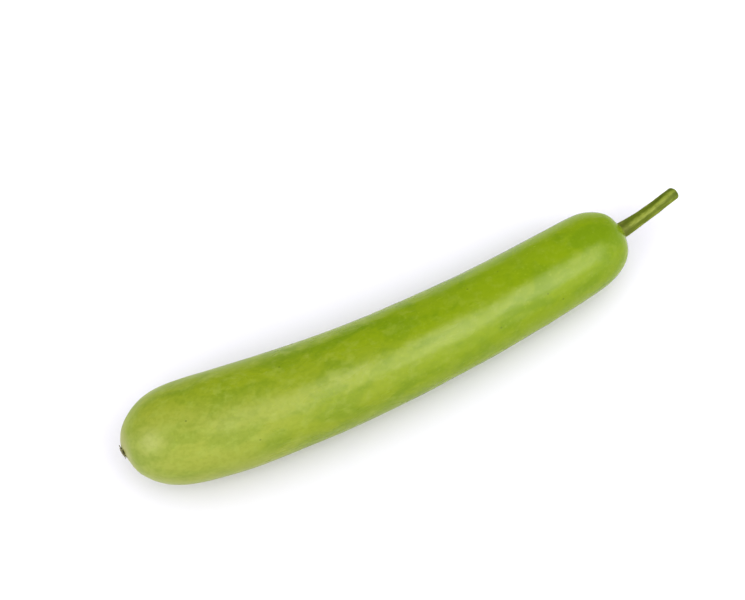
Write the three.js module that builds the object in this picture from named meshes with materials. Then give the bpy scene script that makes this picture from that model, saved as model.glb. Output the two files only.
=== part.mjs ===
/*
 * A long bottle gourd as picked, lying on its side.
 *
 * It has three pieces: the fruit, the cut stem that it hung from, and the dried remnant of its
 * flower at the other end. Units are millimetres. +X runs from the blossom end to the stem end
 * and +Z is up. The origin is the middle of the underside of the whole gourd's box, on the
 * surface that the gourd lies on.
 */
import * as THREE from "three";

// The fruit's axis, seen from above, bows towards -Y between its two poles.
const CHORD = 365;
const BOW = 16.8;
const BOW_SKEW = -2.4; // a negative skew moves the deepest bow towards the blossom end

// The body is a straight taper between the radii that it would have at the two poles.
const BLOSSOM_RADIUS = 36.2;
const STEM_END_RADIUS = 26.1;

// Each end is closed by a cap. A higher shoulder squares the cap's edge, and a tip of 2 makes its
// pole round, where 1 makes it a cone.
const BLOSSOM_CAP = { length: 100, shoulder: 4.8, tip: 1.7 };
const STEM_CAP = { length: 61, shoulder: 6, tip: 1.3 };

// The fruit lies on a narrow flat along its underside.
const FLAT_DEPTH = 0.6;

// Shallow seats in the fruit take the stem and the remnant, with a gap round each.
const SEAT_GAP = 0.3;
const STEM_SEAT = { radius: 5.9, depth: 1.2 };
const REMNANT_SEAT = { radius: 3.6, depth: 0.7 };

// The remnant and its seat lie to the -Y side of the blossom pole, and the skin round them follows.
const REMNANT_OFFSET = 3;
const REMNANT_PULL_REACH = 7;

// The stem leaves a little to the -Y side of the axis, curves towards +Y, and thickens to its foot.
const STEM_LENGTH = 52;
const STEM_LEAVE_TURN = THREE.MathUtils.degToRad(-2);
const STEM_TURN = THREE.MathUtils.degToRad(4);
const STEM_LIFT = THREE.MathUtils.degToRad(3);
const STEM_SHAFT_RADIUS = 4.5;
const STEM_FOOT = { radius: 5.4, reach: 16 };
const STEM_END = { radius: 4.6, reach: 5 };
const STEM_BEVEL = 1.8;
const STEM_RIDGES = { count: 5, height: 0.03 };

// The remnant is a low, ragged button.
const REMNANT_RADIUS = 3;
const REMNANT_HEIGHT = 1.3;
const REMNANT_RIDGES = { count: 7, height: 0.08 };

// Mesh fineness: sides round each piece, and steps along each stretch of its profile.
const FRUIT_SIDES = 56;
const STEM_SIDES = 30;
const REMNANT_SIDES = 28;
const CAP_STEPS = 12;
const BODY_STEPS = 10;
const STEM_STEPS = 12;
const DOME_STEPS = 4;

const UP = new THREE.Vector3(0, 0, 1);

/** The fruit's axis. It falls towards the stem, so that the tapered body lies level underneath. */
class FruitAxis extends THREE.Curve {
  getPoint(t, target = new THREE.Vector3()) {
    const bow = 4 * t * (1 - t) * (BOW + BOW_SKEW * (2 * t - 1));
    return target.set(CHORD * t, -bow, bodyRadius(t) - FLAT_DEPTH);
  }
}

const fruitAxis = new FruitAxis();
const fruitLength = fruitAxis.getLength();

/** The body's radius before the caps, at a share of the way from the blossom pole to the stem. */
function bodyRadius(share) {
  return THREE.MathUtils.lerp(BLOSSOM_RADIUS, STEM_END_RADIUS, share);
}

/** How much of the body's radius a cap leaves at a distance from its pole. */
function capFill(distance, cap) {
  const rest = 1 - Math.min(distance / cap.length, 1);
  return (1 - rest ** cap.shoulder) ** (1 / cap.tip);
}

/** The distance from a cap's pole at which it leaves a given share of the body's radius. */
function capDistance(fill, cap) {
  return cap.length * (1 - (1 - fill ** cap.tip) ** (1 / cap.shoulder));
}

/** The fruit's radius at a distance along its axis. */
function fruitRadius(along) {
  const caps = capFill(along, BLOSSOM_CAP) * capFill(fruitLength - along, STEM_CAP);
  return bodyRadius(along / fruitLength) * caps;
}

/** Distances from a cap's pole, evenly spread round its curve from the rim of a seat outwards. */
function capStations(cap, fullRadius, seat) {
  const first = Math.asin(seat.radius / fullRadius);
  return Array.from({ length: CAP_STEPS + 1 }, (_, i) => {
    const angle = THREE.MathUtils.lerp(first, Math.PI / 2, i / CAP_STEPS);
    return capDistance(Math.sin(angle), cap);
  });
}

/** The direction square to an axis that is level, pointing towards -Y for an axis along +X. */
function levelSide(tangent) {
  return new THREE.Vector3().crossVectors(tangent, UP).normalize();
}

/**
 * Turns a profile about a curve. A profile point holds a radius and a distance along the curve.
 * Ridges run lengthwise: the radius swells and shrinks by their height round the piece.
 */
function turnAlong(curve, profile, sides, ridges = { count: 0, height: 0 }) {
  const geometry = new THREE.LatheGeometry(profile, sides, Math.PI / sides);
  const length = curve.getLength();
  const position = geometry.attributes.position;
  for (let i = 0; i < position.count; i += 1) {
    const share = Math.min(position.getY(i) / length, 1);
    const tangent = curve.getTangentAt(share);
    const side = levelSide(tangent);
    const top = new THREE.Vector3().crossVectors(side, tangent);
    const angle = Math.atan2(position.getX(i), position.getZ(i));
    const swell = 1 + ridges.height * Math.cos(ridges.count * angle);
    const point = curve.getPointAt(share);
    point.addScaledVector(side, swell * position.getX(i));
    point.addScaledVector(top, swell * position.getZ(i));
    position.setXYZ(i, point.x, point.y, point.z);
  }
  geometry.computeVertexNormals();
  return geometry;
}

/** Draws the skin near the blossom pole, and the seat in it, over to the remnant's side. */
function pullToRemnant(geometry) {
  const position = geometry.attributes.position;
  const pole = fruitAxis.getPoint(0);
  for (let i = 0; i < position.count; i += 1) {
    const fromPole = new THREE.Vector3().fromBufferAttribute(position, i).distanceTo(pole);
    const beyondSeat = Math.max(fromPole - REMNANT_SEAT.radius, 0);
    const pull = Math.exp(-((beyondSeat / REMNANT_PULL_REACH) ** 2));
    position.setY(i, position.getY(i) - REMNANT_OFFSET * pull);
  }
  return geometry;
}

/** Presses everything that would hang below the surface flat onto it. */
function layFlat(geometry) {
  const position = geometry.attributes.position;
  for (let i = 0; i < position.count; i += 1) {
    position.setZ(i, Math.max(position.getZ(i), 0));
  }
  geometry.computeVertexNormals();
  return geometry;
}

/** A plain, non-metallic plant surface. */
function plantMaterial(color, roughness) {
  return new THREE.MeshStandardMaterial({ color, roughness, metalness: 0 });
}

/** A named piece of the gourd. */
function piece(name, geometry, material) {
  const mesh = new THREE.Mesh(geometry, material);
  mesh.name = name;
  return mesh;
}

/** The fruit, with a seat sunk in each pole. */
function makeFruit() {
  const blossomCap = capStations(BLOSSOM_CAP, BLOSSOM_RADIUS, REMNANT_SEAT);
  const stemCap = capStations(STEM_CAP, STEM_END_RADIUS, STEM_SEAT)
    .map((distance) => fruitLength - distance)
    .reverse();
  const bodyStart = blossomCap.at(-1);
  const bodyEnd = stemCap[0];
  const body = Array.from({ length: BODY_STEPS - 1 }, (_, i) =>
    THREE.MathUtils.lerp(bodyStart, bodyEnd, (i + 1) / BODY_STEPS),
  );
  const skin = [...blossomCap, ...body, ...stemCap].map(
    (along) => new THREE.Vector2(fruitRadius(along), along),
  );
  const remnantFloor = blossomCap[0] + REMNANT_SEAT.depth;
  const stemFloor = stemCap.at(-1) - STEM_SEAT.depth;
  const profile = [
    new THREE.Vector2(0, remnantFloor),
    new THREE.Vector2(skin[0].x, remnantFloor),
    ...skin,
    new THREE.Vector2(skin.at(-1).x, stemFloor),
    new THREE.Vector2(0, stemFloor),
  ];
  const geometry = layFlat(pullToRemnant(turnAlong(fruitAxis, profile, FRUIT_SIDES)));
  return piece("fruit", geometry, plantMaterial(0x97ab33, 0.42));
}

/** The stem's path, from just over the floor of its seat, for its foot is tilted, to its cut end. */
function stemPath() {
  const rim = capDistance(STEM_SEAT.radius / STEM_END_RADIUS, STEM_CAP);
  const lift = SEAT_GAP + STEM_FOOT.radius * Math.sin(Math.abs(STEM_LEAVE_TURN));
  const start = fruitAxis.getPointAt(1 - (rim + STEM_SEAT.depth - lift) / fruitLength);
  const axisEnd = fruitAxis.getTangentAt(1);
  const leave = axisEnd.clone().applyAxisAngle(UP, STEM_LEAVE_TURN);
  const out = axisEnd.clone().applyAxisAngle(UP, STEM_TURN);
  out.applyAxisAngle(levelSide(out), STEM_LIFT);
  const bend = start.clone().addScaledVector(leave, STEM_LENGTH / 3);
  const end = bend.clone().addScaledVector(out, (2 * STEM_LENGTH) / 3);
  return new THREE.QuadraticBezierCurve3(start, bend, end);
}

/** The stem's radius at a distance from its foot. */
function stemRadius(along, length) {
  const foot = (STEM_FOOT.radius - STEM_SHAFT_RADIUS) * Math.exp(-((along / STEM_FOOT.reach) ** 2));
  const end = (STEM_END.radius - STEM_SHAFT_RADIUS) * Math.exp(-(((length - along) / STEM_END.reach) ** 2));
  return STEM_SHAFT_RADIUS + foot + end;
}

/** The cut stem: ridged, flared where it joins the fruit, and bevelled round its cut end. */
function makeStem() {
  const path = stemPath();
  const length = path.getLength();
  const shaft = Array.from({ length: STEM_STEPS + 1 }, (_, i) => {
    const along = ((length - STEM_BEVEL) * i) / STEM_STEPS;
    return new THREE.Vector2(stemRadius(along, length), along);
  });
  const profile = [
    new THREE.Vector2(0, 0),
    ...shaft,
    new THREE.Vector2(STEM_END.radius - STEM_BEVEL, length),
    new THREE.Vector2(0, length),
  ];
  const geometry = turnAlong(path, profile, STEM_SIDES, STEM_RIDGES);
  return piece("stem", geometry, plantMaterial(0x768730, 0.6));
}

/** The dried flower remnant, a ragged button standing a little out of the blossom pole. */
function makeRemnant() {
  const rim = capDistance(REMNANT_SEAT.radius / BLOSSOM_RADIUS, BLOSSOM_CAP);
  const wall = rim + REMNANT_SEAT.depth - SEAT_GAP;
  const thickness = wall + REMNANT_HEIGHT;
  const back = fruitAxis.getPointAt(wall / fruitLength);
  back.y -= REMNANT_OFFSET;
  const out = fruitAxis.getTangentAt(0).negate();
  const path = new THREE.LineCurve3(back, back.clone().addScaledVector(out, thickness));
  const dome = Array.from({ length: DOME_STEPS }, (_, i) => {
    const angle = (Math.PI / 2) * (i / DOME_STEPS);
    return new THREE.Vector2(REMNANT_RADIUS * Math.cos(angle), wall + REMNANT_HEIGHT * Math.sin(angle));
  });
  const profile = [
    new THREE.Vector2(0, 0),
    new THREE.Vector2(REMNANT_RADIUS, 0),
    ...dome,
    new THREE.Vector2(0, thickness),
  ];
  const geometry = turnAlong(path, profile, REMNANT_SIDES, REMNANT_RIDGES);
  return piece("blossom_remnant", geometry, plantMaterial(0x5a5433, 0.9));
}

/** The whole gourd, moved so that its box is centred over the origin. */
function makeGourd() {
  const gourd = new THREE.Group();
  gourd.add(makeFruit(), makeStem(), makeRemnant());
  const middle = new THREE.Box3().setFromObject(gourd).getCenter(new THREE.Vector3());
  gourd.position.set(-middle.x, -middle.y, 0);
  return gourd;
}

export default makeGourd();
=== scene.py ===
"""The looks of a long bottle gourd that lies on its side.

It has three pieces: the fruit, its cut stem and the dried remnant of its flower. Everything is in
metres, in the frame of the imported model: +X from the blossom end to the stem end, +Z up, and the
surface that the gourd lies on at Z = 0.
"""
import math
import random

import bpy
import numpy as np
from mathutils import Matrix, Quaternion, Vector, noise


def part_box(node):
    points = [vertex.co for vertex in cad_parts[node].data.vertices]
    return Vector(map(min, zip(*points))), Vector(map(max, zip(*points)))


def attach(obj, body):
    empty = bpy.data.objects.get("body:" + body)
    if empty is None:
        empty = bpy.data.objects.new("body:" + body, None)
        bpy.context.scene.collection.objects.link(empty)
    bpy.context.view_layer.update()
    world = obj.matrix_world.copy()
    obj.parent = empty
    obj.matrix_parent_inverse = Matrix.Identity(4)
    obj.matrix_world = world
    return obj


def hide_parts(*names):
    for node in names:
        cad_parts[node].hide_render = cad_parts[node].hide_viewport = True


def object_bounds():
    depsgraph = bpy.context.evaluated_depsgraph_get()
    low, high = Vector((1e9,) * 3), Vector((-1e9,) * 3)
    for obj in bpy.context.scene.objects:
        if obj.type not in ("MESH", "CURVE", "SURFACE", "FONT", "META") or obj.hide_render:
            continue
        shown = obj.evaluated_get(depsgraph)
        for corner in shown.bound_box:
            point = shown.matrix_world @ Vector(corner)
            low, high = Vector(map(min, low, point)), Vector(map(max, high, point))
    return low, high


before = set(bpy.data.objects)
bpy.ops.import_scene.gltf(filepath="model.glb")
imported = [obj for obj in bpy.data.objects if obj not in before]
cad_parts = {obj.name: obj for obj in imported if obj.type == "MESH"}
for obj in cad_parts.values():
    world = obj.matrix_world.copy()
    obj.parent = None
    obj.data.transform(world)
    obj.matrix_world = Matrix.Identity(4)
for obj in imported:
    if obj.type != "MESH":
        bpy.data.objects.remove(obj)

CAD_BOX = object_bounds()
MM = 0.001

# The fruit's dimensions, as the CAD model states them.
CHORD = 365 * MM
BOW = 16.8 * MM
BOW_SKEW = -2.4 * MM
BLOSSOM_RADIUS = 36.2 * MM
STEM_END_RADIUS = 26.1 * MM
BLOSSOM_CAP = {"length": 100 * MM, "shoulder": 4.8, "tip": 1.7}
STEM_CAP = {"length": 61 * MM, "shoulder": 6.0, "tip": 1.3}
FLAT_DEPTH = 0.6 * MM
SEAT_GAP = 0.3 * MM
STEM_SEAT = {"radius": 5.9 * MM, "depth": 1.2 * MM}
REMNANT_SEAT = {"radius": 3.6 * MM, "depth": 0.7 * MM}
REMNANT_OFFSET = 3 * MM
REMNANT_PULL_REACH = 7 * MM

# The stem's and the remnant's, as the CAD model states them.
STEM_LENGTH = 52 * MM
STEM_LEAVE_TURN = math.radians(-2)
STEM_TURN = math.radians(4)
STEM_LIFT = math.radians(3)
STEM_SHAFT_RADIUS = 4.5 * MM
STEM_FOOT = {"radius": 5.4 * MM, "reach": 16 * MM}
STEM_END = {"radius": 4.6 * MM, "reach": 5 * MM}
REMNANT_RADIUS = 3 * MM

# How finely the visible pieces are meshed: sides round each piece and rings along it.
SKIN_SIDES = 216
CAP_RINGS = 84
BODY_RINGS = 200
STEM_SIDES = 140
STEM_RINGS = 230
STEM_RIM_RINGS = 11
STEM_CUT_RINGS = 15
REMNANT_SIDES = 140

# The shape of the visible fruit departs from the CAD model's round one in what follows.
# Each gentle swell or hollow has a distance from the blossom pole in millimetres, an angle round
# the fruit from its top towards -Y in degrees, a height in millimetres, and how far it spreads
# along the fruit in millimetres and round it in degrees.
SWELLS = [
    (9, 128, -0.9, 11, 34),
    (18, 262, 0.7, 20, 34),
    (60, 285, -0.55, 20, 26),
    (82, 105, 0.7, 22, 30),
    (330, 285, -0.4, 16, 30),
    (350, 100, -0.5, 11, 40),
    (360, 335, 2.0, 6, 28),
    (362, 75, 0.6, 6, 40),
]

# Noise that makes the skin uneven: its height, the size of its features, and where it is read.
BROAD_WAVES = {"height": 0.42 * MM, "size": 34 * MM, "place": Vector((3.1, 7.7, 1.9))}
FINE_WAVES = {"height": 0.10 * MM, "size": 9 * MM, "place": Vector((8.3, 2.2, 5.4))}
WAVE_STRETCH = 0.55
POLE_CALM = 9 * MM

# Small dents, scattered at random. The ranges are in millimetres.
DENTS = {"count": 46, "seed": 11, "stretch": 0.7}
DENT_PLACES = (12, 350)
DENT_REACHES = (1.6, 4.2)
DENT_DEPTHS = (0.05, 0.16)

# The lip and the puckers round the stem, and the hollow and the puckers round the remnant.
LIP = {"height": 0.5 * MM, "out": 0.7 * MM, "reach": 1.0 * MM}
STEM_PUCKERS = {"height": 0.10 * MM, "reach": 6.5 * MM}
HOLLOW = {"height": -0.35 * MM, "reach": 3.0 * MM}
BLOSSOM_PUCKERS = {"height": 0.07 * MM, "reach": 4.0 * MM}

# The tip of the blossom end leans by this share of the distance aside, close to the pole.
REMNANT_LEAN = 0.3
REMNANT_LEAN_REACH = 12 * MM

# The side of the fruit that is darker and deeper green, as an angle from its top towards -Y: partly
# the skin's own colour, partly painted shade.
GREEN_AND_SHADE_SIDE = math.radians(290)

# The visible stem: its rounded and hollow end, the swelling of its foot, its space in the seat,
# and its ridges, which wind a little round it.
STEM_EDGE = 2.6 * MM
STEM_CUT_HOLLOW = 0.45 * MM
STEM_CUT_MIDDLE = 0.06
STEM_ROLL = {"height": 0.35 * MM, "at": 1.0 * MM, "reach": 1.4 * MM}
STEM_CLEARANCE = 0.5 * MM
STEM_RIDGES = 5
STEM_RIDGE_TURN = math.radians(20)
STEM_TWIST = 0.35

# The visible remnant: its lobes and how far they reach, the space under it, its thickness, and the
# scar's reach as a share of its core.
REMNANT_LOBES = 5
REMNANT_LOBE = 2.2 * MM
REMNANT_GAP = 0.05 * MM
REMNANT_THICKNESS = 0.45 * MM
REMNANT_SCAR = 0.26


# ---------------------------------------------------------------- shapes


def body_radius(share):
    """The tapered body's radius at a share of the way from the blossom pole to the stem's."""
    return BLOSSOM_RADIUS + (STEM_END_RADIUS - BLOSSOM_RADIUS) * share


def cap_fill(distance, cap):
    """How much of the body's radius a cap leaves at a distance from its pole."""
    rest = 1 - np.clip(distance / cap["length"], 0, 1)
    return (1 - rest ** cap["shoulder"]) ** (1 / cap["tip"])


def cap_distance(fill, cap):
    """The distance from a cap's pole at which it leaves a share of the body's radius."""
    return cap["length"] * (1 - (1 - fill ** cap["tip"]) ** (1 / cap["shoulder"]))


class Path:
    """A curve through closely spaced points, read by the distance along it."""

    def __init__(self, points):
        self.points = np.asarray(points, float)
        steps = np.linalg.norm(np.diff(self.points, axis=0), axis=1)
        self.along = np.concatenate([[0], np.cumsum(steps)])
        self.length = self.along[-1]
        self.slopes = np.gradient(self.points, self.along, axis=0)

    def at(self, distance):
        """Points, tangents, level side directions and top directions at distances along the path."""
        place = np.stack([np.interp(distance, self.along, self.points[:, k]) for k in range(3)], -1)
        tangent = np.stack([np.interp(distance, self.along, self.slopes[:, k]) for k in range(3)], -1)
        tangent = tangent / np.linalg.norm(tangent, axis=-1, keepdims=True)
        side = np.cross(tangent, [0, 0, 1])
        side = side / np.linalg.norm(side, axis=-1, keepdims=True)
        return place, tangent, side, np.cross(side, tangent)


def fruit_axis():
    """The fruit's axis from its blossom pole, bowed towards -Y and falling towards the stem."""
    share = np.linspace(0, 1, 2001)
    bow = 4 * share * (1 - share) * (BOW + BOW_SKEW * (2 * share - 1))
    return Path(np.stack([CHORD * share, -bow, body_radius(share) - FLAT_DEPTH], -1))


AXIS = fruit_axis()


def fruit_radius(along):
    """The fruit's radius at a distance along its axis."""
    caps = cap_fill(along, BLOSSOM_CAP) * cap_fill(AXIS.length - along, STEM_CAP)
    return body_radius(along / AXIS.length) * caps


def ring_angles(sides):
    """The angles of a ring's points, measured from the top towards -Y."""
    return 2 * np.pi * (np.arange(sides) + 0.5) / sides


def bell(distance, reach):
    """1 at no distance, falling smoothly to almost nothing at twice the reach."""
    return np.exp(-((distance / reach) ** 2))


def sweep(path, radius, along):
    """Points of a piece turned about a path, from its radii: rings by sides by 3."""
    angle = ring_angles(radius.shape[1])
    place, _, side, top = path.at(along)
    around = np.sin(angle)[None, :, None] * side[:, None, :]
    around = around + np.cos(angle)[None, :, None] * top[:, None, :]
    return place[:, None, :] + radius[..., None] * around


def grid_normals(points):
    """Unit normals of a grid of points that closes on itself round each ring."""
    along = np.gradient(points, axis=0)
    around = np.roll(points, -1, axis=1) - np.roll(points, 1, axis=1)
    normals = np.cross(around, along)
    return normals / np.maximum(np.linalg.norm(normals, axis=-1, keepdims=True), 1e-12)


def fractal(points, scale, octaves, offset):
    """Smooth noise from about -1 to 1 at each point. Features are about one scale across."""
    flat = points.reshape(-1, 3) / scale + offset
    values = [noise.fractal(Vector(p), 1.0, 2.0, octaves) for p in flat]
    return np.array(values).reshape(points.shape[:-1])


def grid_mesh(name, points, attributes):
    """A closed mesh from a grid of rings, each end closed by a fan to the middle of its ring."""
    rings, sides = points.shape[:2]
    ends = [points[0].mean(0), points[-1].mean(0)]
    vertices = np.concatenate([points.reshape(-1, 3), ends])
    ring = np.arange(rings - 1)[:, None] * sides
    here = np.arange(sides)[None, :]
    following = (here + 1) % sides
    corners = [ring + here, ring + following, ring + sides + following, ring + sides + here]
    quads = np.stack(corners, -1)
    faces = quads.reshape(-1, 4).tolist()
    first, last = rings * sides, rings * sides + 1
    end = (rings - 1) * sides
    for i in range(sides):
        after = (i + 1) % sides
        faces.append((first, after, i))
        faces.append((last, end + i, end + after))
    mesh = bpy.data.meshes.new(name)
    mesh.from_pydata(vertices.tolist(), [], faces)
    for key, values in attributes.items():
        values = np.asarray(values, float)
        if values.ndim == 3:
            filled = np.concatenate([values.reshape(-1, 3), [values[0].mean(0), values[-1].mean(0)]])
            attribute = mesh.attributes.new(key, "FLOAT_VECTOR", "POINT")
            attribute.data.foreach_set("vector", filled.ravel())
        else:
            filled = np.concatenate([values.ravel(), [values[0].mean(), values[-1].mean()]])
            attribute = mesh.attributes.new(key, "FLOAT", "POINT")
            attribute.data.foreach_set("value", filled)
    mesh.polygons.foreach_set("use_smooth", [True] * len(mesh.polygons))
    mesh.update()
    return mesh


def add_piece(mesh, node, material):
    """Shows a mesh in place of a CAD node."""
    piece = bpy.data.objects.new(node + "_looks", mesh)
    bpy.context.scene.collection.objects.link(piece)
    mesh.materials.append(material)
    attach(piece, "root")
    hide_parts(node)


# ---------------------------------------------------------------- the fruit


def cap_stations(cap, full_radius, seat):
    """Distances from a cap's pole, evenly spread round its curve from a seat's rim outwards."""
    first = math.asin(seat["radius"] / full_radius)
    return cap_distance(np.sin(np.linspace(first, math.pi / 2, CAP_RINGS)), cap)


def fruit_stations():
    """Distances and radii of the fruit's rings, seats included, and which rings are bare skin."""
    blossom = cap_stations(BLOSSOM_CAP, BLOSSOM_RADIUS, REMNANT_SEAT)
    stem = (AXIS.length - cap_stations(STEM_CAP, STEM_END_RADIUS, STEM_SEAT))[::-1]
    body = np.linspace(blossom[-1], stem[0], BODY_RINGS)[1:-1]
    skin = np.concatenate([blossom, body, stem])
    radii = fruit_radius(skin)
    low, high = skin[0] + REMNANT_SEAT["depth"], skin[-1] - STEM_SEAT["depth"]
    seat = np.array([0.3, 0.7, 1])
    along = np.concatenate([[low] * 3, skin, [high] * 3])
    radius = np.concatenate([radii[0] * seat, radii, radii[-1] * seat[::-1]])
    bare = np.concatenate([[0] * 3, np.ones(len(skin)), [0] * 3])
    return along, radius, bare


def swell_heights(along, angle):
    """The height of the gentle swells and hollows over the grid."""
    total = np.zeros((len(along), len(angle)))
    for distance, direction, height, reach, spread in SWELLS:
        turn = (np.degrees(angle) - direction + 180) % 360 - 180
        fade = bell(along - distance * MM, reach * MM)
        total += height * MM * fade[:, None] * bell(turn, spread)[None, :]
    return total


def dent_heights(straight):
    """Small shallow dents scattered over the skin."""
    rng = random.Random(DENTS["seed"])
    total = np.zeros(straight.shape[:2])
    for _ in range(DENTS["count"]):
        distance = rng.uniform(*DENT_PLACES) * MM
        angle = rng.uniform(0, 2 * math.pi)
        reach = rng.uniform(*DENT_REACHES) * MM
        depth = rng.uniform(*DENT_DEPTHS) * MM
        ring = float(fruit_radius(np.array(distance)))
        centre = np.array([distance, ring * math.sin(angle), ring * math.cos(angle)])
        away = np.linalg.norm((straight - centre) * [DENTS["stretch"], 1, 1], axis=-1)
        total -= depth * bell(away, reach)
    return total


def stem_end_heights(along, radius, angle):
    """The raised, uneven lip round the stem, and the puckers that run into it."""
    out = radius - STEM_SEAT["radius"]
    near = along > AXIS.length / 2
    wobble = 1 + 0.18 * np.sin(3 * angle + 0.6) + 0.12 * np.sin(5 * angle + 2.1)
    lip = LIP["height"] * bell(out - LIP["out"], LIP["reach"]) * near
    puckers = np.cos(11 * angle + 0.9 * np.sin(2 * angle)) + 0.6 * np.cos(17 * angle + 1.3)
    fade = STEM_PUCKERS["height"] * bell(out, STEM_PUCKERS["reach"]) * near
    return lip[:, None] * wobble[None, :] + fade[:, None] * puckers[None, :]


def blossom_end_heights(along, radius, angle):
    """The shallow hollow round the remnant, and the puckers that run into it."""
    out = radius - REMNANT_SEAT["radius"]
    near = along < AXIS.length / 2
    hollow = HOLLOW["height"] * bell(out, HOLLOW["reach"]) * near
    puckers = np.cos(13 * angle + 1.1 * np.sin(3 * angle)) + 0.5 * np.cos(21 * angle)
    fade = BLOSSOM_PUCKERS["height"] * bell(out, BLOSSOM_PUCKERS["reach"]) * near
    return hollow[:, None] + fade[:, None] * puckers[None, :]


def lean_to_remnant(points):
    """Leans the tip of the blossom end, and the remnant in it, a little towards -Y."""
    away = np.linalg.norm(points - AXIS.points[0], axis=-1)
    aside = points[..., 1] - AXIS.points[0, 1]
    points[..., 0] -= REMNANT_LEAN * aside * bell(away, REMNANT_LEAN_REACH)


def pull_to_remnant(points):
    """Draws the skin near the blossom pole, and the seat in it, over to the remnant's side."""
    away = np.linalg.norm(points - AXIS.points[0], axis=-1)
    beyond = np.maximum(away - REMNANT_SEAT["radius"], 0)
    points[..., 1] -= REMNANT_OFFSET * bell(beyond, REMNANT_PULL_REACH)


def wave_heights(straight):
    """Broad and fine unevenness of the skin, drawn out along the fruit."""
    stretched = straight * [WAVE_STRETCH, 1, 1]
    total = np.zeros(straight.shape[:2])
    for waves in (BROAD_WAVES, FINE_WAVES):
        total += waves["height"] * fractal(stretched, waves["size"], 2, waves["place"])
    return total


def make_fruit_grid():
    """The fruit's points; the same with the bow out, and as the CAD has them; and how far each lies on
    the side with painted shade and deeper green.
    """
    along, radius, bare = fruit_stations()
    angle = ring_angles(SKIN_SIDES)
    points = sweep(AXIS, np.repeat(radius[:, None], SKIN_SIDES, 1), along)
    around = np.stack([np.sin(angle), np.cos(angle)], -1)
    straight = np.empty(points.shape)
    straight[..., 0] = along[:, None]
    straight[..., 1:] = radius[:, None, None] * around[None, :, :]
    plain = points.copy()
    pull_to_remnant(plain)
    height = wave_heights(straight) + swell_heights(along, angle) + dent_heights(straight)
    height *= (1 - bell(np.minimum(along, AXIS.length - along), POLE_CALM))[:, None]
    height += stem_end_heights(along, radius, angle) + blossom_end_heights(along, radius, angle)
    height *= bare[:, None]
    points = points + height[..., None] * grid_normals(points)
    lean_to_remnant(points)
    pull_to_remnant(points)
    # Painted shade, with some of the skin's own deeper green: 1 on that side of the fruit, 0 on the
    # opposite side.
    green_and_shade = np.repeat(0.5 + 0.5 * np.cos(angle - GREEN_AND_SHADE_SIDE)[None, :], len(along), 0)
    return points, straight, plain, green_and_shade


FRUIT_POINTS, FRUIT_STRAIGHT, FRUIT_PLAIN, FRUIT_GREEN_AND_SHADE = make_fruit_grid()


def packed_shift():
    """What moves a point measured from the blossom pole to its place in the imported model."""
    low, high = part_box("fruit")
    own_low, own_high = FRUIT_PLAIN.reshape(-1, 3).min(0), FRUIT_PLAIN.reshape(-1, 3).max(0)
    middle = (own_low + own_high) / 2
    return np.array([(low.x + high.x) / 2 - middle[0], (low.y + high.y) / 2 - middle[1], 0])


SHIFT = packed_shift()


def make_fruit(material):
    """The fruit, pressed flat where it lies."""
    points = FRUIT_POINTS + SHIFT
    points[..., 2] = np.maximum(points[..., 2], 0)
    share = FRUIT_STRAIGHT[..., 0] / AXIS.length
    attributes = {"straight": FRUIT_STRAIGHT, "share": share, "green_and_shade": FRUIT_GREEN_AND_SHADE}
    add_piece(grid_mesh("fruit", points, attributes), "fruit", material)


# ---------------------------------------------------------------- the stem


def turned(vector, axis, angle):
    """A vector turned about an axis."""
    axis = axis / np.linalg.norm(axis)
    across = np.cross(axis, vector)
    lengthways = axis * (axis @ vector)
    return vector * math.cos(angle) + across * math.sin(angle) + lengthways * (1 - math.cos(angle))


def stem_path():
    """The stem's path, from the floor of its seat out to its cut end."""
    rim = cap_distance(STEM_SEAT["radius"] / STEM_END_RADIUS, STEM_CAP)
    lift = SEAT_GAP + STEM_FOOT["radius"] * math.sin(abs(STEM_LEAVE_TURN))
    start, _, _, _ = AXIS.at(AXIS.length - rim - STEM_SEAT["depth"] + lift)
    _, axis_end, _, _ = AXIS.at(AXIS.length)
    up = np.array([0, 0, 1.0])
    leave = turned(axis_end, up, STEM_LEAVE_TURN)
    out = turned(axis_end, up, STEM_TURN)
    out = turned(out, np.cross(out, up), STEM_LIFT)
    bend = start + leave * STEM_LENGTH / 3
    end = bend + out * STEM_LENGTH * 2 / 3
    share = np.linspace(0, 1, 400)[:, None]
    return Path((1 - share) ** 2 * start + 2 * share * (1 - share) * bend + share**2 * end)


def stem_rings(length):
    """Distances and radii of the stem's rings, and how far each one belongs to the cut."""
    shaft = np.linspace(0, length - STEM_EDGE, STEM_RINGS)
    rim = np.linspace(0, math.pi / 2, STEM_RIM_RINGS + 1)[1:]
    along = np.concatenate([shaft, length - STEM_EDGE + STEM_EDGE * np.sin(rim)])
    foot = (STEM_FOOT["radius"] - STEM_SHAFT_RADIUS) * bell(along, STEM_FOOT["reach"])
    end = (STEM_END["radius"] - STEM_SHAFT_RADIUS) * bell(length - along, STEM_END["reach"])
    roll = STEM_ROLL["height"] * bell(along - STEM_ROLL["at"], STEM_ROLL["reach"])
    radius = STEM_SHAFT_RADIUS + foot + end + roll
    radius[STEM_RINGS:] -= STEM_EDGE * (1 - np.cos(rim))
    inward = np.linspace(1, STEM_CUT_MIDDLE, STEM_CUT_RINGS + 1)[1:]
    along = np.concatenate([along, length - STEM_CUT_HOLLOW * (1 - inward**2)])
    radius = np.concatenate([radius, radius[-1] * inward])
    rim_cut = np.linspace(0, 1, STEM_RIM_RINGS) ** 2
    cut = np.concatenate([np.zeros(STEM_RINGS), rim_cut, np.ones(STEM_CUT_RINGS)])
    return along, radius, cut


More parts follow.
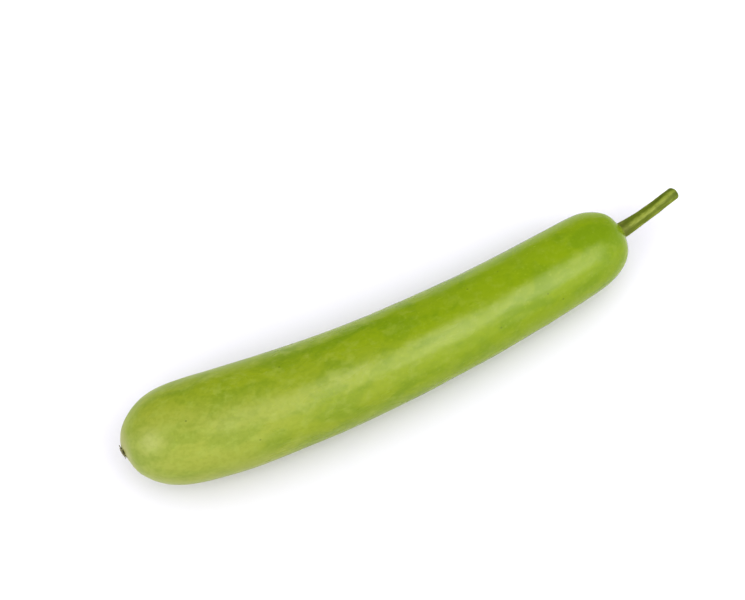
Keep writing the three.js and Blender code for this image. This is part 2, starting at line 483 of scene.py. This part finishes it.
def stem_relief(straight, ridge, cut):
    """What the stem's radius is multiplied by for its ridges, fibres and lumps."""
    fibres = fractal(straight * [0.06, 1, 1], 0.55 * MM, 2, Vector((4.2, 9.1, 6.6)))
    lumps = fractal(straight * [0.5, 1, 1], 5 * MM, 2, Vector((1.4, 3.9, 2.8)))
    bark = (1 - cut)[:, None]
    return 1 + 0.055 * (ridge - 0.5) * (0.35 + 0.65 * bark) + 0.016 * fibres * bark + 0.045 * lumps


def make_stem(material):
    """The cut stem: five soft ridges with fine fibres, a flared foot and a rough hollow cut."""
    path = stem_path()
    along, radius, cut = stem_rings(path.length)
    angle = ring_angles(STEM_SIDES)
    twist = angle[None, :] - STEM_RIDGE_TURN + STEM_TWIST * (along / path.length)[:, None]
    ridge = np.abs(np.cos(STEM_RIDGES / 2 * twist)) ** 1.6
    # Painted light and shade: the stem's top, a little towards -Y, is made paler and its underside
    # darker.
    painted_lit_side = (0.5 + 0.5 * np.cos(angle - STEM_RIDGE_TURN)) ** 2
    straight = np.empty((len(along), STEM_SIDES, 3))
    straight[..., 0] = along[:, None]
    straight[..., 1] = radius[:, None] * np.sin(twist)
    straight[..., 2] = radius[:, None] * np.cos(twist)
    room = STEM_SEAT["radius"] - STEM_CLEARANCE + np.maximum(along - STEM_SEAT["depth"], 0)
    full = np.minimum(radius[:, None] * stem_relief(straight, ridge, cut), room[:, None])
    points = sweep(path, full, along)
    _, tangent, _, _ = path.at(along)
    pits = fractal(straight, 0.8 * MM, 3, Vector((7.7, 5.1, 3.3)))
    points += (0.12 * MM * pits * cut[:, None])[..., None] * tangent[:, None, :]
    attributes = {
        "straight": straight,
        "ridges_and_lit_side": 0.45 * ridge + 0.55 * painted_lit_side[None, :],
        "share": np.repeat(along[:, None] / path.length, STEM_SIDES, 1),
        "cut": np.repeat(cut[:, None], STEM_SIDES, 1),
    }
    add_piece(grid_mesh("stem", points + SHIFT, attributes), "stem", material)


# ---------------------------------------------------------------- the flower remnant


def remnant_profile():
    """Each ring's shares of the core and of the lobes, and its height; and how many lie underneath."""
    wall = REMNANT_SEAT["depth"]
    skirt = wall + REMNANT_THICKNESS
    bottom = [(core, 0, REMNANT_GAP) for core in np.linspace(0.25, 1, 6)]
    side = [(1, 0, 0.5 * wall), (1, 0, wall)]
    below = [(1, lobe, wall + 0.10 * MM + 0.30 * MM * lobe**2) for lobe in np.linspace(0.2, 0.95, 6)]
    above = [(1, lobe, skirt + 0.15 * MM * lobe**2) for lobe in np.linspace(1, 0, 9)]
    dome = []
    for core in np.linspace(0.97, 0.05, 24):
        rise = 0.80 * MM * math.sqrt(1 - core**2) - 0.55 * MM * bell(core, REMNANT_SCAR)
        dome.append((core, 0, skirt + rise))
    return np.array(bottom + side + below + above + dome), len(bottom)


def make_remnant(material):
    """The dried flower remnant: a crumpled button with a hollow scar and five withered lobes."""
    rim = cap_distance(REMNANT_SEAT["radius"] / BLOSSOM_RADIUS, BLOSSOM_CAP)
    base, tangent, side, top = AXIS.at(rim + REMNANT_SEAT["depth"])
    profile, under = remnant_profile()
    core, lobe, height = (column[:, None] for column in profile.T)
    angle = ring_angles(REMNANT_SIDES)
    lobes = (0.5 + 0.5 * np.cos(REMNANT_LOBES * angle + 0.8 * np.sin(2 * angle))) ** 2
    lobes *= 0.85 + 0.15 * np.sin(2 * angle + 1.0)
    edge = REMNANT_RADIUS * (1 + 0.05 * np.cos(13 * angle + 1.0))
    out = core * edge + lobe * (0.2 * MM + REMNANT_LOBE * lobes)
    flat = np.stack([out * np.cos(angle), out * np.sin(angle), height + 0 * out], -1)
    crumple = fractal(flat, 0.9 * MM, 3, Vector((2.7, 8.8, 4.4)))
    loose = np.arange(len(profile))[:, None] > under
    height = height + np.where(loose, 0.20 * MM * crumple, 0)
    out = out * (1 + 0.05 * crumple * (1 - lobe))
    around = np.cos(angle)[None, :, None] * side + np.sin(angle)[None, :, None] * top
    points = base + out[..., None] * around - height[..., None] * tangent
    lean_to_remnant(points)
    pull_to_remnant(points)
    scar = bell(core, REMNANT_SCAR) * loose * np.ones(REMNANT_SIDES)
    mesh = grid_mesh("blossom_remnant", points + SHIFT, {"scar": scar})
    add_piece(mesh, "blossom_remnant", material)


# ---------------------------------------------------------------- materials


class Finish:
    """A material with one Principled shader, and short ways to add nodes in front of it."""

    def __init__(self, name, **values):
        self.material = bpy.data.materials.new(name)
        self.material.use_nodes = True
        self.tree = self.material.node_tree
        self.shader = self.tree.nodes["Principled BSDF"]
        for key, value in values.items():
            self.shader.inputs[key.replace("_", " ")].default_value = value

    def plug(self, socket, source):
        """Feeds a socket from a node's output, or sets it to a plain value."""
        if isinstance(source, bpy.types.NodeSocket):
            self.tree.links.new(source, socket)
        elif source is not None:
            socket.default_value = source

    def attribute(self, name, output="Fac"):
        """A value that the mesh carries at each of its points."""
        node = self.tree.nodes.new("ShaderNodeAttribute")
        node.attribute_name = name
        return node.outputs[output]

    def math(self, operation, first, second, third=None):
        """Arithmetic on two or three values."""
        node = self.tree.nodes.new("ShaderNodeMath")
        node.operation = operation
        for socket, source in zip(node.inputs, (first, second, third)):
            self.plug(socket, source)
        return node.outputs["Value"]

    def stretch(self, source, scale, offset=(0, 0, 0)):
        """Coordinates scaled each way. What reads them is drawn out where the scale is low."""
        node = self.tree.nodes.new("ShaderNodeMapping")
        self.plug(node.inputs["Vector"], source)
        node.inputs["Scale"].default_value = scale
        node.inputs["Location"].default_value = offset
        return node.outputs["Vector"]

    def noise(self, source, size, detail=2, roughness=0.5, distortion=0):
        """Noise from 0 to 1 whose features are about one size across, in metres."""
        node = self.tree.nodes.new("ShaderNodeTexNoise")
        self.plug(node.inputs["Vector"], source)
        node.inputs["Scale"].default_value = 1 / size
        node.inputs["Detail"].default_value = detail
        node.inputs["Roughness"].default_value = roughness
        node.inputs["Distortion"].default_value = distortion
        return node.outputs["Fac"]

    def cells(self, source, size):
        """How many sizes away the nearest of many points is. They lie about one size apart."""
        node = self.tree.nodes.new("ShaderNodeTexVoronoi")
        self.plug(node.inputs["Vector"], source)
        node.inputs["Scale"].default_value = 1 / size
        return node.outputs["Distance"]

    def ramp(self, source, low, high, start=0.0, end=1.0):
        """A smooth rise from start to end as the source goes from low to high."""
        node = self.tree.nodes.new("ShaderNodeMapRange")
        node.interpolation_type = "SMOOTHSTEP"
        values = (source, low, high, start, end)
        for key, value in zip(("Value", "From Min", "From Max", "To Min", "To Max"), values):
            self.plug(node.inputs[key], value)
        return node.outputs["Result"]

    def colours(self, source, stops):
        """A colour that follows stops of (position, (red, green, blue))."""
        node = self.tree.nodes.new("ShaderNodeValToRGB")
        node.color_ramp.interpolation = "EASE"
        elements = node.color_ramp.elements
        while len(elements) < len(stops):
            elements.new(0.5)
        for element, (position, colour) in zip(elements, stops):
            element.position = position
            element.color = (*colour, 1)
        self.plug(node.inputs["Fac"], source)
        return node.outputs["Color"]

    def blend(self, kind, share, first, second):
        """Two colours mixed, multiplied and so on, by a share."""
        node = self.tree.nodes.new("ShaderNodeMix")
        node.data_type = "RGBA"
        node.blend_type = kind
        for key, value in (("Factor", share), ("A", first), ("B", second)):
            sockets = [s for s in node.inputs if s.name == key and s.enabled]
            if isinstance(value, tuple):
                value = (*value, 1)
            self.plug(sockets[0], value)
        return next(s for s in node.outputs if s.enabled)

    def bump(self, height, distance, strength, after=None):
        """A normal that follows a height from 0 to 1, a distance high, on top of another normal."""
        node = self.tree.nodes.new("ShaderNodeBump")
        node.inputs["Distance"].default_value = distance
        node.inputs["Strength"].default_value = strength
        self.plug(node.inputs["Height"], height)
        self.plug(node.inputs["Normal"], after)
        return node.outputs["Normal"]

    def finish(self, **sources):
        """Feeds the shader's sockets, and gives the finished material."""
        for key, source in sources.items():
            self.plug(self.shader.inputs[key.replace("_", " ")], source)
        return self.material


# The skin's own colour from the blossom end to the stem end.
SKIN_COLOURS = [
    (0.00, (0.316, 0.353, 0.080)),
    (0.14, (0.306, 0.343, 0.055)),
    (0.35, (0.260, 0.317, 0.015)),
    (0.65, (0.232, 0.306, 0.002)),
    (1.00, (0.230, 0.312, 0.001)),
]

# Tints multiply the colour under them, and the others cover it.
# The tint for the shaded side is painted shade, with some of the skin's own deeper green.
GREEN_AND_SHADE_TINT = (0.97, 0.99, 0.50)
PATCH_TINT = (0.80, 0.88, 0.62)
MOTTLE_TINT = (0.86, 0.90, 0.70)
CLOUD_COLOUR = (0.320, 0.375, 0.075)
FLECK_COLOUR = (0.350, 0.420, 0.040)
SCAR_COLOUR = (0.095, 0.130, 0.010)
BLOSSOM_RIM_COLOUR = (0.400, 0.370, 0.180)
STEM_RIM_COLOUR = (0.260, 0.330, 0.035)


def skin_colour(skin, place, share, long, scars):
    """The skin's colour: deeper and greener to the stem, darker and greener on one side with painted
    shade, mottled, flecked and scarred.
    """
    drift = skin.noise(long, 60 * MM)
    shifted = skin.math("ADD", share, skin.math("MULTIPLY_ADD", drift, 0.24, -0.12))
    # Painted shade on one side, with some deeper green of its own: that side takes the stem end's
    # colours and a darker, less blue tint.
    green_and_shade = skin.ramp(skin.attribute("green_and_shade"), 0.55, 1)
    base = skin.colours(skin.math("MULTIPLY_ADD", green_and_shade, 0.20, shifted), SKIN_COLOURS)
    base = skin.blend("MULTIPLY", green_and_shade, base, GREEN_AND_SHADE_TINT)

    patches = skin.noise(skin.stretch(place, (0.6, 1, 1), (3, 1, 2)), 16 * MM, 3, 0.55, 0.4)
    base = skin.blend("MULTIPLY", skin.ramp(patches, 0.42, 0.64, 0, 0.85), base, PATCH_TINT)
    young = skin.ramp(share, 0.25, 0.75, 1, 0.40)
    clouds = skin.noise(skin.stretch(place, (0.85, 1, 1), (9, 4, 7)), 7 * MM, 3, 0.6, 0.3)
    clouds = skin.math("MULTIPLY", young, skin.ramp(clouds, 0.46, 0.70, 0, 0.42))
    base = skin.blend("MIX", clouds, base, CLOUD_COLOUR)
    mottle = skin.noise(skin.stretch(place, (0.9, 1, 1), (4, 8, 1)), 2.8 * MM)
    mottle = skin.math("MULTIPLY", young, skin.ramp(mottle, 0.40, 0.66, 0, 0.55))
    base = skin.blend("MULTIPLY", mottle, base, MOTTLE_TINT)

    flecks = skin.ramp(skin.cells(skin.stretch(place, (0.8, 1, 1)), 3.4 * MM), 0.05, 0.30, 0.16, 0)
    base = skin.blend("MIX", flecks, base, FLECK_COLOUR)
    base = skin.blend("MIX", scars, base, SCAR_COLOUR)
    base = skin.blend("MIX", skin.ramp(share, 0.004, 0.022, 0.5, 0), base, BLOSSOM_RIM_COLOUR)
    return skin.blend("MIX", skin.ramp(share, 0.975, 0.995, 0, 0.5), base, STEM_RIM_COLOUR)


def skin_material():
    """Young gourd skin, smooth and glossy, with a fine grain that is barely seen."""
    skin = Finish("gourd_skin", IOR=1.45, Specular_IOR_Level=0.38)
    place = skin.attribute("straight", "Vector")
    share = skin.attribute("share")
    long = skin.stretch(place, (0.35, 1, 1))
    scars = skin.cells(skin.stretch(place, (0.9, 1, 1), (5, 2, 8)), 14 * MM)
    scars = skin.ramp(scars, 0.020, 0.065, 0.55, 0)

    normal = skin.bump(skin.noise(place, 2.2 * MM, 3, 0.55), 0.10 * MM, 0.5)
    waves = skin.noise(skin.stretch(place, (0.5, 1, 1)), 8 * MM)
    normal = skin.bump(waves, 0.40 * MM, 0.5, normal)
    normal = skin.bump(scars, 0.25 * MM, -0.6, normal)
    rough = skin.ramp(skin.noise(long, 12 * MM, 3), 0.3, 0.7, 0.20, 0.28)
    rough = skin.math("ADD", rough, skin.ramp(share, 0, 0.6, 0.10, 0))
    return skin.finish(
        Base_Color=skin_colour(skin, place, share, long, scars), Roughness=rough, Normal=normal
    )


STEM_COLOURS = [
    (0.15, (0.076, 0.106, 0.002)),
    (0.50, (0.132, 0.170, 0.008)),
    (0.85, (0.265, 0.305, 0.050)),
]
STEM_FOOT_COLOUR = (0.142, 0.158, 0.028)
STEM_END_TINT = (0.60, 0.68, 0.40)
STEM_CUT_COLOURS = [(0.3, (0.085, 0.115, 0.008)), (0.7, (0.210, 0.240, 0.060))]


def stem_material():
    """Olive stem, blotched and streaked; paler ridges, partly their own colour and partly a painted
    highlight; a painted lit top and shaded underside; a duller foot and a fibrous cut end.
    """
    stem = Finish("gourd_stem", IOR=1.45, Specular_IOR_Level=0.22)
    place = stem.attribute("straight", "Vector")
    share = stem.attribute("share")
    streaks = stem.noise(stem.stretch(place, (0.16, 1, 1)), 1.3 * MM, 3, 0.6)
    blotches = stem.noise(stem.stretch(place, (0.45, 1, 1), (2, 6, 4)), 3.0 * MM, 3, 0.6)
    # Paler on the ridges, partly their own colour and partly a painted highlight, and paler on the
    # painted lit top than the painted shaded underside.
    pale = stem.math("MULTIPLY_ADD", stem.attribute("ridges_and_lit_side"), 0.55, -0.33)
    pale = stem.math("MULTIPLY_ADD", streaks, 0.5, pale)
    pale = stem.math("MULTIPLY_ADD", blotches, 0.6, pale)
    base = stem.colours(pale, STEM_COLOURS)
    base = stem.blend("MIX", stem.ramp(share, 0.02, 0.20, 0.50, 0), base, STEM_FOOT_COLOUR)
    base = stem.blend("MULTIPLY", stem.ramp(share, 0.86, 0.98, 0, 0.50), base, STEM_END_TINT)
    inner = stem.colours(stem.noise(place, 0.7 * MM, 3, 0.6), STEM_CUT_COLOURS)
    base = stem.blend("MIX", stem.attribute("cut"), base, inner)

    fibres = stem.noise(stem.stretch(place, (0.05, 1, 1)), 0.35 * MM, 3, 0.6)
    normal = stem.bump(fibres, 0.12 * MM, 0.6)
    normal = stem.bump(stem.noise(place, 0.5 * MM), 0.05 * MM, 0.5, normal)
    rough = stem.ramp(streaks, 0.3, 0.7, 0.62, 0.48)
    return stem.finish(Base_Color=base, Roughness=rough, Normal=normal)


REMNANT_COLOURS = [
    (0.30, (0.100, 0.096, 0.050)),
    (0.52, (0.235, 0.225, 0.125)),
    (0.75, (0.430, 0.410, 0.270)),
]
REMNANT_SCAR_COLOUR = (0.042, 0.038, 0.020)


def remnant_material():
    """Dry brown-grey flower tissue, blotched, and darkest in its scar."""
    dry = Finish("gourd_flower_remnant", IOR=1.4, Specular_IOR_Level=0.2)
    place = dry.tree.nodes.new("ShaderNodeTexCoord").outputs["Object"]
    grain = dry.noise(place, 0.8 * MM, 4, 0.65)
    scar = dry.math("MULTIPLY", dry.attribute("scar"), 0.7)
    base = dry.blend("MIX", scar, dry.colours(grain, REMNANT_COLOURS), REMNANT_SCAR_COLOUR)
    normal = dry.bump(dry.noise(place, 0.35 * MM, 3, 0.6), 0.12 * MM, 0.8)
    rough = dry.ramp(grain, 0.3, 0.7, 0.95, 0.8)
    return dry.finish(Base_Color=base, Roughness=rough, Normal=normal)


# ---------------------------------------------------------------- camera, light and floor


# Directions are an azimuth, 0 towards -Y and 90 towards +X, and an elevation, both in degrees.
CAMERA = {"aim": (-11.71, 48.84, 0), "direction": (-25.76, 66), "distance": 996.8 * MM, "lens": 70}

# Each softbox has a direction and a distance in metres, a size in metres, and a turn in degrees.
KEY = {"place": (42, 51, 3.0), "size": (1.9, 2.4), "turn": -35}
LEFT = {"place": (-82, 33, 3.0), "size": (1.7, 1.7), "turn": 0}
FRONT = {"place": (12, 14, 3.0), "size": (4.0, 1.7), "turn": 0}
WHITE = (1, 1, 1)
GLOSS_COLOUR = (1.0, 0.87, 0.94)

# The surroundings' level, from low in front, through high in front and the sides, to high behind.
BEHIND = (180, 35)
SURROUNDINGS = [(0.0, 0.76), (0.12, 0.79), (0.36, 1.0), (0.62, 0.98), (0.88, 0.86), (1.0, 0.80)]
SURROUNDINGS_STRENGTH = 1.5
# How much weaker they are for reflections, as the direction turns from in front to behind.
GLOSS_SHADE = {"From Min": -0.1, "From Max": 0.5, "To Min": 0, "To Max": -1.15}

FLOOR_HALF = 12
FLOOR_GAP = 0.05 * MM
FLOOR_COLOUR = (0.765, 0.755, 0.81, 1)
VIEW_GAMMA = 0.77


def direction(azimuth, elevation):
    """A unit vector from an azimuth and an elevation."""
    a, e = math.radians(azimuth), math.radians(elevation)
    return Vector((math.sin(a) * math.cos(e), -math.cos(a) * math.cos(e), math.sin(e)))


def make_camera():
    """A long lens, from high above the blossom end's near side."""
    back = direction(*CAMERA["direction"])
    data = bpy.data.cameras.new("camera")
    data.lens = CAMERA["lens"]
    camera = bpy.data.objects.new("camera", data)
    bpy.context.scene.collection.objects.link(camera)
    camera.location = Vector(CAMERA["aim"]) * MM + back * CAMERA["distance"]
    camera.rotation_mode = "QUATERNION"
    camera.rotation_quaternion = (-back).to_track_quat("-Z", "Y")
    bpy.context.scene.camera = camera


def add_softbox(name, place, size, turn, brightness, colour=WHITE, gloss_only=False):
    """A rectangular soft light that faces the gourd. One for gloss lights only reflections."""
    azimuth, elevation, distance = place
    width, height = size
    data = bpy.data.lights.new(name, "AREA")
    data.shape = "RECTANGLE"
    data.size = width
    data.size_y = height
    data.energy = math.pi * width * height * brightness
    data.color = colour
    light = bpy.data.objects.new(name, data)
    bpy.context.scene.collection.objects.link(light)
    towards = direction(azimuth, elevation)
    facing = (-towards).to_track_quat("-Z", "Y")
    light.location = towards * distance
    light.rotation_mode = "QUATERNION"
    light.rotation_quaternion = facing @ Quaternion((0, 0, 1), math.radians(turn))
    light.visible_camera = False
    light.visible_diffuse = not gloss_only


def make_lights():
    """Two weak softboxes for the light and shade, and three for the long highlights on the skin."""
    add_softbox("key_softbox", **KEY, brightness=1.3)
    add_softbox("left_softbox", **LEFT, brightness=1.5)
    add_softbox("key_gloss", **KEY, brightness=9.4, colour=GLOSS_COLOUR, gloss_only=True)
    add_softbox("left_gloss", **LEFT, brightness=4.8, colour=GLOSS_COLOUR, gloss_only=True)
    add_softbox("front_gloss", **FRONT, brightness=1.2, colour=GLOSS_COLOUR, gloss_only=True)


def make_world():
    """Soft surrounding light, brightest high in front, and dimmer for reflections from behind."""
    world = bpy.data.worlds.new("studio")
    world.use_nodes = True
    bpy.context.scene.world = world
    tree = world.node_tree

    behind = tree.nodes.new("ShaderNodeVectorMath")
    behind.operation = "DOT_PRODUCT"
    behind.inputs[1].default_value = direction(*BEHIND)
    tree.links.new(tree.nodes.new("ShaderNodeTexCoord").outputs["Generated"], behind.inputs[0])

    share = tree.nodes.new("ShaderNodeMapRange")
    share.inputs["From Min"].default_value = -1
    tree.links.new(behind.outputs["Value"], share.inputs["Value"])
    ramp = tree.nodes.new("ShaderNodeValToRGB")
    tree.links.new(share.outputs["Result"], ramp.inputs["Fac"])
    elements = ramp.color_ramp.elements
    while len(elements) < len(SURROUNDINGS):
        elements.new(0.5)
    for element, (position, level) in zip(elements, SURROUNDINGS):
        element.position = position
        element.color = (level, level, level, 1)

    shade = tree.nodes.new("ShaderNodeMapRange")
    tree.links.new(behind.outputs["Value"], shade.inputs["Value"])
    for key, value in GLOSS_SHADE.items():
        shade.inputs[key].default_value = value
    strength = tree.nodes.new("ShaderNodeMath")
    strength.operation = "MULTIPLY_ADD"
    strength.inputs[2].default_value = SURROUNDINGS_STRENGTH
    tree.links.new(tree.nodes.new("ShaderNodeLightPath").outputs["Is Glossy Ray"], strength.inputs[0])
    tree.links.new(shade.outputs["Result"], strength.inputs[1])
    background = tree.nodes["Background"]
    tree.links.new(ramp.outputs["Color"], background.inputs["Color"])
    tree.links.new(strength.outputs["Value"], background.inputs["Strength"])


def make_floor():
    """A plain white floor, a little cool, so that the gourd's green bounce leaves it neutral."""
    mesh = bpy.data.meshes.new("floor")
    z = CAD_BOX[0].z - FLOOR_GAP
    corners = [(-1, -1), (1, -1), (1, 1), (-1, 1)]
    vertices = [(FLOOR_HALF * x, FLOOR_HALF * y, z) for x, y in corners]
    mesh.from_pydata(vertices, [], [(0, 1, 2, 3)])
    floor = bpy.data.objects.new("floor", mesh)
    bpy.context.scene.collection.objects.link(floor)
    paper = Finish("floor_paper", Base_Color=FLOOR_COLOUR, Roughness=0.9, Specular_IOR_Level=0.0)
    mesh.materials.append(paper.material)


make_camera()
make_world()
make_floor()
make_lights()
make_fruit(skin_material())
make_stem(stem_material())
make_remnant(remnant_material())

bpy.context.scene.view_settings.view_transform = "Standard"
bpy.context.scene.view_settings.look = "None"
bpy.context.scene.view_settings.gamma = VIEW_GAMMA
